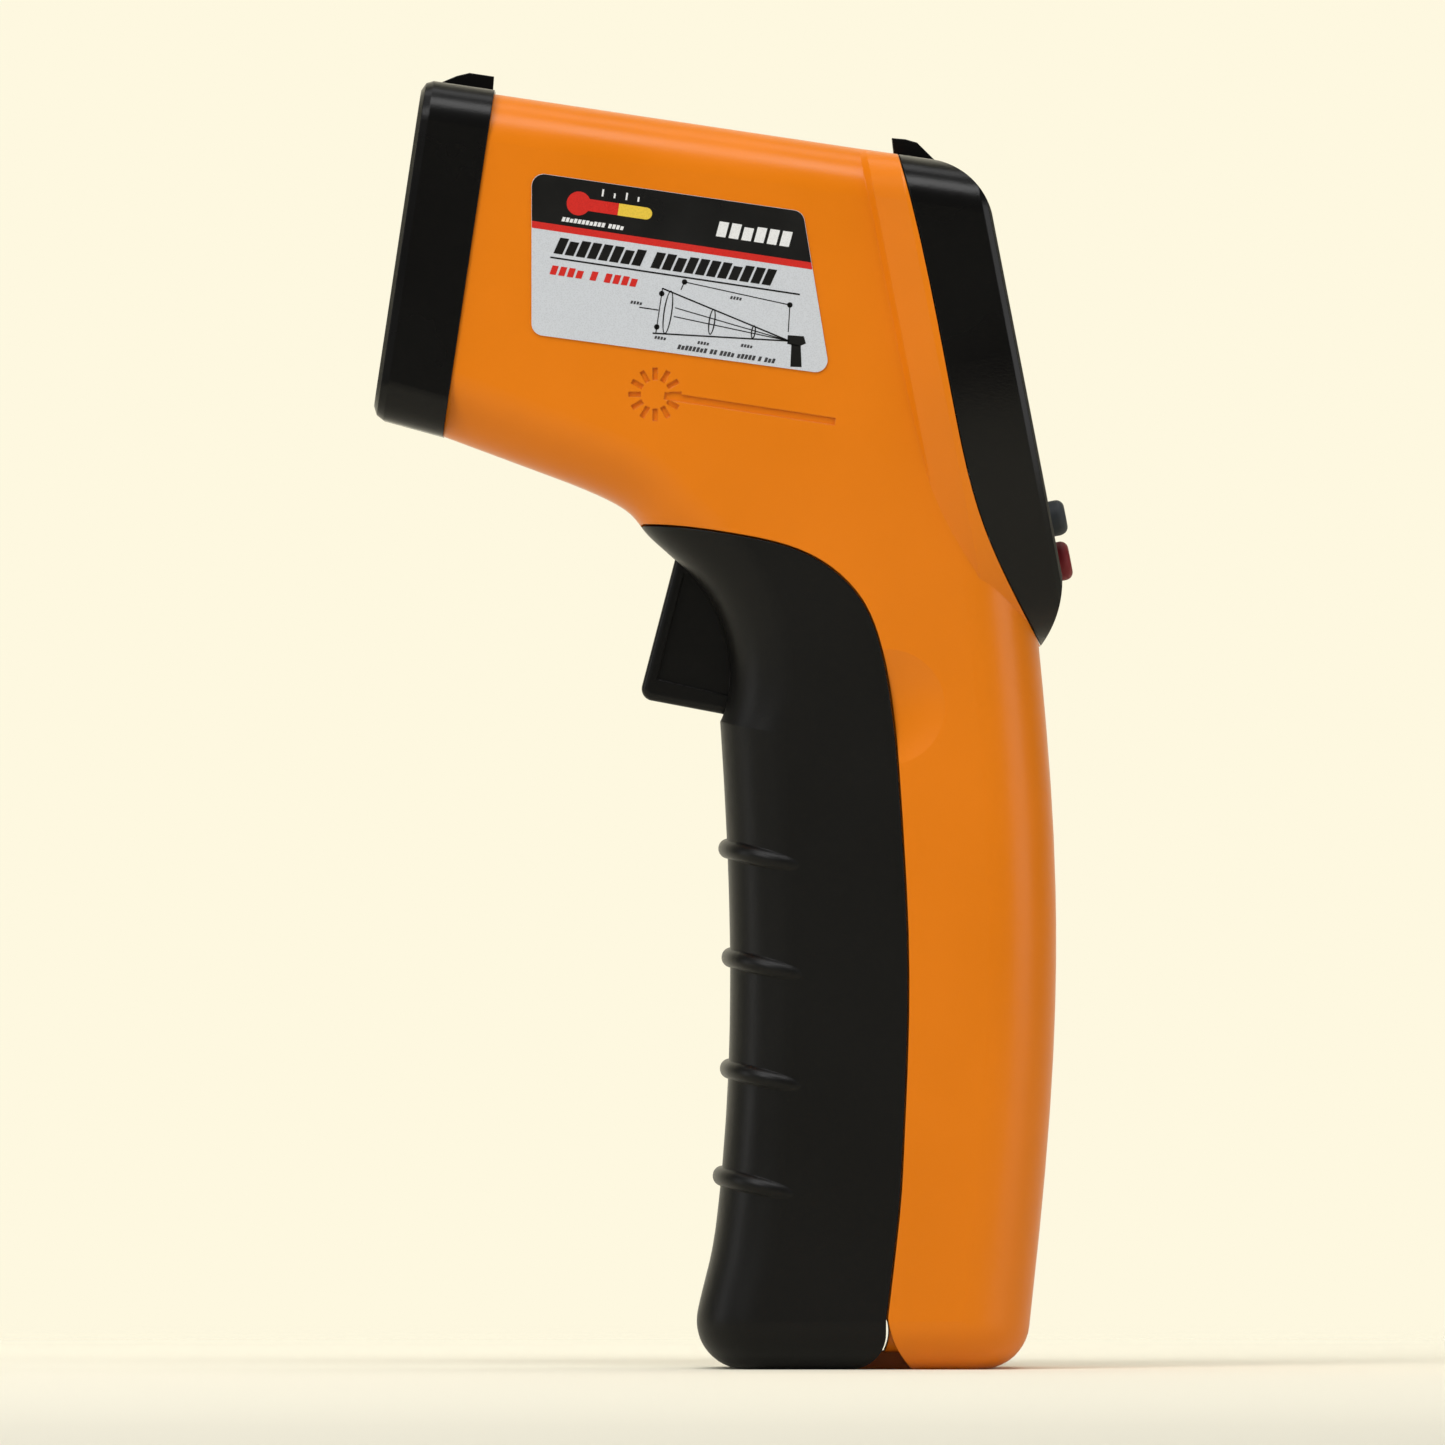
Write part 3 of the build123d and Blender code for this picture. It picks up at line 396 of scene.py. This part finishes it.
def side_label(side):
    """The label's printing: a runs back along the barrel from the lower front corner, and b runs up."""
    c, s = math.cos(BARREL_TILT), math.sin(BARREL_TILT)
    x0, z0 = LABEL_FRONT_LOW

    def place(a, b, layer):
        return world(x0 - a * c - b * s, side * (LABEL_FACE + LABEL_LAYER * layer), z0 - a * s + b * c)

    def local(x, z):
        """A corner of the label as (a, b)."""
        dx, dz = x - x0, z - z0
        return (-dx * c - dz * s, -dx * s + dz * c)

    top_front, top_rear, low_rear = local(*LABEL_FRONT_TOP), local(*LABEL_REAR_TOP), local(*LABEL_REAR_LOW)
    art = Print(place)

    def front(b):
        """The label's front edge at height b."""
        return top_front[0] * b / top_front[1]

    def rear(b):
        """The label's rear edge at height b."""
        k = (b - low_rear[1]) / (top_rear[1] - low_rear[1])
        return low_rear[0] + (top_rear[0] - low_rear[0]) * k

    def rounded(before, corner, after, r=LABEL_CORNER_R, count=8):
        """Points round a corner of the label."""
        p = (Vector(before) - Vector(corner)).normalized()
        q = (Vector(after) - Vector(corner)).normalized()
        half = p.angle(q) / 2
        middle = Vector(corner) + (p + q).normalized() * r / math.sin(half)
        a = Vector(corner) + p * r / math.tan(half) - middle
        b = Vector(corner) + q * r / math.tan(half) - middle
        inside = r - LABEL_MARGIN
        return [tuple(middle + a.slerp(b, k / count).normalized() * inside) for k in range(count + 1)]

    front_low = (0.0, 0.0)
    band = top_front[1] - HEADER
    stripe = top_front[1] - (HEADER + STRIPE)
    band_ends = (front(band) + LABEL_MARGIN, band), (rear(band) - LABEL_MARGIN, band)
    stripe_ends = (front(stripe) + LABEL_MARGIN, stripe), (rear(stripe) - LABEL_MARGIN, stripe)
    art.shape("black", [band_ends[0], *rounded(front_low, top_front, top_rear),
                        *rounded(top_front, top_rear, low_rear), band_ends[1]])
    art.shape("red", [stripe_ends[0], band_ends[0], band_ends[1], stripe_ends[1]])
    # header: a plain thermometer symbol and two groups of blocks
    art.disc("red", (3.4, band + 3.0), 1.5, layer=2)
    art.line("red", (3.4, band + 3.0), (8.4, band + 3.0), 1.5, layer=3)
    art.line("yellow", (8.4, band + 3.0), (11.9, band + 3.0), 1.5, layer=2)
    art.disc("yellow", (11.9, band + 3.0), 0.75, layer=3)
    for k in range(4):
        art.line("white", (6.2 + 1.5 * k, band + 4.3), (6.2 + 1.5 * k, band + (4.9 if k % 2 else 5.2)), 0.22)
    words(art, "white", (1.6, band + 0.5), (11, 4), 0.38, 0.12, 0.55, 0.2)
    words(art, "white", (20.9, band + 1.5), (6,), 1.2, 0.4, 1.9, 0.12)
    # title, rule, and a red line of smaller blocks
    words(art, "black", (1.2, stripe - 2.75), (8, 11), 1.12, 0.28, 2.05, 0.28)
    art.line("black", (0.9, stripe - 3.3), (rear(stripe - 3.3) - 2.2, stripe - 3.3), 0.2)
    words(art, "red", (1.1, stripe - 5.4), (4, 1, 4), 0.78, 0.3, 1.15, 0.2)
    # diagram: the cone of view, spots at three distances, dimension lines and a small outline of the tool
    tip = (31.9, 3.9)
    art.line("black", tip, (15.3, 8.05), 0.18)
    art.line("black", tip, (14.9, 2.35), 0.18)
    art.line("black", tip, (17.2, 5.9), 0.12)
    art.line("black", tip, (17.2, 4.8), 0.12)
    for at, rx, ry in (((16.4, 5.2), 0.55, 2.75), ((22.0, 4.85), 0.42, 1.65), ((27.3, 4.35), 0.3, 0.85)):
        art.ring("black", at, rx, ry, 0.16)
    art.line("black", (15.3, 2.4), (15.3, 8.1), 0.12)
    for at in ((15.3, 7.4), (15.3, 3.2), (17.9, 9.25), (31.3, 8.35)):
        art.disc("black", at, 0.34)
    art.line("black", (17.9, 9.25), (31.3, 8.35), 0.12)
    art.line("black", (17.6, 8.2), (17.9, 9.3), 0.12)
    art.line("black", (31.3, 8.4), (31.6, 5.0), 0.12)
    art.line("black", (12.8, 5.3), (15.2, 5.3), 0.14)
    for a, b in ((11.6, 5.6), (23.8, 8.0), (15.2, 1.7), (20.6, 1.85), (26.0, 2.3)):
        words(art, "grey", (a, b), (4,), 0.26, 0.12, 0.38, 0.2)
    art.shape("black", [(31.6, 4.6), (33.6, 4.75), (34.0, 3.9), (33.2, 3.4), (31.7, 3.5)])
    art.shape("black", [(32.2, 3.6), (33.4, 3.5), (33.9, 0.9), (32.5, 0.75)])
    words(art, "grey", (18.2, 0.85), (8, 2, 4, 5, 1, 3), 0.34, 0.13, 0.6, 0.25)
    art.finish("label_print_" + ("left" if side > 0 else "right"), "housing", INK)


side_label(1)
side_label(-1)


# the digits: how high up the display, half a digit's width and height, and a segment's thickness
DIGIT_V, DIGIT_W, DIGIT_H, DIGIT_T = 124.5, 2.0, 4.0, 1.1
GLASS_U = -37.2


def display_segments():
    """Seven-segment digits and small marks, dark on the display glass; its reader's left is +Y."""
    art = Print(lambda a, b, layer: display(GLASS_U - 0.02 * layer, a, b))

    def digit(y, lit):
        """A digit round this y, with these of its segments dark."""
        v, w, h, t = DIGIT_V, DIGIT_W, DIGIT_H, DIGIT_T
        g = t * 0.12
        slots = {
            "a": ((y - w, v + h), (y + w, v + h)), "g": ((y - w, v), (y + w, v)),
            "d": ((y - w, v - h), (y + w, v - h)), "f": ((y + w, v + h), (y + w, v)),
            "b": ((y - w, v + h), (y - w, v)), "e": ((y + w, v), (y + w, v - h)),
            "c": ((y - w, v), (y - w, v - h)),
        }
        for key in lit:
            (y0, v0), (y1, v1) = slots[key]
            dy, dv = y1 - y0, v1 - v0
            n = math.hypot(dy, dv)
            dy, dv = dy / n, dv / n
            k = t / 2
            art.shape("segment", [
                (y0 + dy * g, v0 + dv * g), (y0 + dy * k - dv * k, v0 + dv * k + dy * k),
                (y1 - dy * k - dv * k, v1 - dv * k + dy * k), (y1 - dy * g, v1 - dv * g),
                (y1 - dy * k + dv * k, v1 - dv * k - dy * k), (y0 + dy * k + dv * k, v0 + dv * k - dy * k),
            ])

    digit(7.4, "bcgf")
    digit(1.2, "abcdefg")
    digit(-5.6, "abcdfg")
    art.disc("segment", (-2.3, 120.4), 0.5)
    art.ring("segment", (-9.6, 128.4), 0.8, 0.8, 0.3)
    art.line("segment", (-11.0, 128.6), (-11.0, 125.8), 0.4)
    art.line("segment", (-11.0, 128.6), (-12.4, 128.6), 0.4)
    art.line("segment", (-11.0, 127.2), (-12.2, 127.2), 0.4)
    for k in range(9):
        art.line("segment", (10.5 - 2.4 * k, 133.4), (10.5 - 2.4 * k, 134.4 + 0.5 * (k % 2)), 0.3)
    art.line("segment", (10.8, 133.2), (-9.0, 133.2), 0.25)
    for k in range(3):
        art.line("segment", (9.6 - 1.5 * k, 115.2), (8.9 - 1.5 * k, 117.0), 0.3)
    art.ring("segment", (1.2, 116.1), 0.9, 0.9, 0.3)
    art.finish("display_segments", "housing", {"segment": SEGMENT})


display_segments()


# ---------------------------------------------------------------- floor and reflector
# in metres: the sweep's front edge, where its bend starts, the bend's radius, its top and half its width
SWEEP_FRONT, SWEEP_BEND, BEND_R, SWEEP_TOP, SWEEP_HALF = 1.6, -0.5, 0.5, 2.4, 2.5
SWEEP_BELOW = 0.0005
BEND_STEPS = 12
FLOOR_R = 1.2
FLOOR_SIDES = 96
FLOOR_MIDDLE = (0.0, 0.35, 0.0)
FLOOR_FADE = (0.33, 0.8)


def paper(name, start, end):
    """Matt pale paper with painted shade: its colour gets a little darker between these places along Y."""
    s = Shader(name, Specular_IOR_Level=0.08)
    fibre = s.noise(700.0, 5.0)
    # painted shade: the colour goes from the pale tone to a darker one towards +Y
    painted_shade = s.remap(s.axis(1), 0.0, 1.0, start, end)
    tone = s.mix(painted_shade, (0.97, 0.93, 0.775), (0.74, 0.71, 0.60))
    s.link(s.mix(s.remap(fibre, 0, 0.06), tone, (0.75, 0.7, 0.55)), s.bsdf.inputs["Base Color"])
    s.link(s.remap(fibre, 0.85, 0.95), s.bsdf.inputs["Roughness"])
    s.relief(fibre, 0.00001, 0)
    return s


def staged(name, verts, faces, shader):
    """A mesh that isn't part of the object."""
    mesh = bpy.data.meshes.new(name)
    mesh.from_pydata(verts, [], faces)
    for polygon in mesh.polygons:
        polygon.use_smooth = True
    mesh.materials.append(shader.material)
    piece = bpy.data.objects.new(name, mesh)
    bpy.context.scene.collection.objects.link(piece)
    return piece


def reflector():
    """A paper sweep that only returns light to the object, so that no view of it is blocked."""
    verts, faces = [], []
    profile = [(SWEEP_FRONT, 0.0), (SWEEP_BEND, 0.0)]
    for k in range(1, BEND_STEPS + 1):
        a = math.pi / 2 * k / BEND_STEPS
        profile.append((SWEEP_BEND - BEND_R * math.sin(a), BEND_R - BEND_R * math.cos(a)))
    profile.append((SWEEP_BEND - BEND_R, SWEEP_TOP))
    for y, z in profile:
        verts += [(-SWEEP_HALF, y, z - SWEEP_BELOW), (SWEEP_HALF, y, z - SWEEP_BELOW)]
    for k in range(len(profile) - 1):
        faces.append((2 * k, 2 * k + 1, 2 * k + 3, 2 * k + 2))
    # the sweep's paper carries painted shade, darker from y -0.6 to 0.1
    sweep = staged("paper_sweep", verts, faces, paper("paper", -0.6, 0.1))
    sweep.visible_camera = False


def floor():
    """A pale floor that fades into the background all round."""
    # painted shade: the floor's colour darkens towards the front, from y -0.2 to 0.5
    s = paper("paper_floor", -0.2, 0.5)
    radius = s.add("ShaderNodeVectorMath", operation="DISTANCE")
    s.link(s.where, radius.inputs[0])
    radius.inputs[1].default_value = FLOOR_MIDDLE
    fade = s.remap(radius.outputs["Value"], 1.0, 0.0, *FLOOR_FADE)
    fade.node.interpolation_type = "SMOOTHSTEP"
    s.link(fade, s.bsdf.inputs["Alpha"])
    ring = [2 * math.pi * k / FLOOR_SIDES for k in range(FLOOR_SIDES)]
    verts = [(FLOOR_R * math.cos(a), FLOOR_R * math.sin(a), 0.0) for a in ring]
    disc = staged("paper_floor", verts, [tuple(range(FLOOR_SIDES))], s)
    disc.visible_diffuse = disc.visible_glossy = disc.visible_transmission = False
    disc.visible_shadow = False


reflector()
floor()

# ---------------------------------------------------------------- camera
DISTANCE = 6.0
SENSOR = 36.0
VIEW_WIDTH = 0.180625
VIEW_X, VIEW_Z = 17.8, 0.0807
lens = bpy.data.cameras.new("camera")
camera = bpy.data.objects.new("camera", lens)
bpy.context.scene.collection.objects.link(camera)
bpy.context.scene.camera = camera
lens.sensor_width = SENSOR
lens.lens = SENSOR * DISTANCE / VIEW_WIDTH
lens.clip_start = 0.05
lens.clip_end = 20.0
camera.location = (world(VIEW_X, 0, 0)[0], DISTANCE, VIEW_Z)
camera.rotation_euler = (math.radians(90), 0, math.radians(180))


# ---------------------------------------------------------------- light
def softbox(name, place, target, size, power):
    """A rectangular lamp of this size in metres, aimed at the target."""
    light = bpy.data.lights.new(name, "AREA")
    light.shape = "RECTANGLE"
    light.size, light.size_y = size
    light.energy = power
    box = bpy.data.objects.new(name, light)
    box.location = place
    box.rotation_euler = (Vector(target) - Vector(place)).to_track_quat("-Z", "Y").to_euler()
    bpy.context.scene.collection.objects.link(box)


softbox("key", (0.75, 1.0, 0.85), (0, 0, 0.08), (0.5, 0.5), 6.6)
softbox("fill", (-1.25, 0.65, 0.4), (0, 0, 0.08), (0.8, 0.8), 4.4)
softbox("side", (1.35, 0.25, 0.25), (0, 0, 0.09), (0.3, 0.9), 2.4)
softbox("top", (0.1, 0.55, 1.15), (0, 0, 0.1), (1.0, 0.45), 8.0)
softbox("wall", (0, -0.2, 1.2), (0, -1.0, 0.1), (1.6, 0.5), 5.0)

AMBIENT, AMBIENT_STRENGTH = (1.0, 0.98, 0.94), 0.16
BACKGROUND = (0.991, 0.939, 0.745)


def studio():
    """Faint light from all round, behind which the camera sees a plain pale background."""
    world_light = bpy.data.worlds.new("studio")
    bpy.context.scene.world = world_light
    world_light.use_nodes = True
    tree = world_light.node_tree
    ambient = tree.nodes["Background"]
    ambient.inputs[0].default_value = (*AMBIENT, 1)
    ambient.inputs[1].default_value = AMBIENT_STRENGTH
    pale = tree.nodes.new("ShaderNodeBackground")
    pale.inputs[0].default_value = (*BACKGROUND, 1)
    seen = tree.nodes.new("ShaderNodeMixShader")
    ray = tree.nodes.new("ShaderNodeLightPath")
    tree.links.new(ray.outputs["Is Camera Ray"], seen.inputs[0])
    tree.links.new(ambient.outputs[0], seen.inputs[1])
    tree.links.new(pale.outputs[0], seen.inputs[2])
    tree.links.new(seen.outputs[0], tree.nodes["World Output"].inputs[0])


studio()
bpy.context.scene.view_settings.view_transform = "Standard"
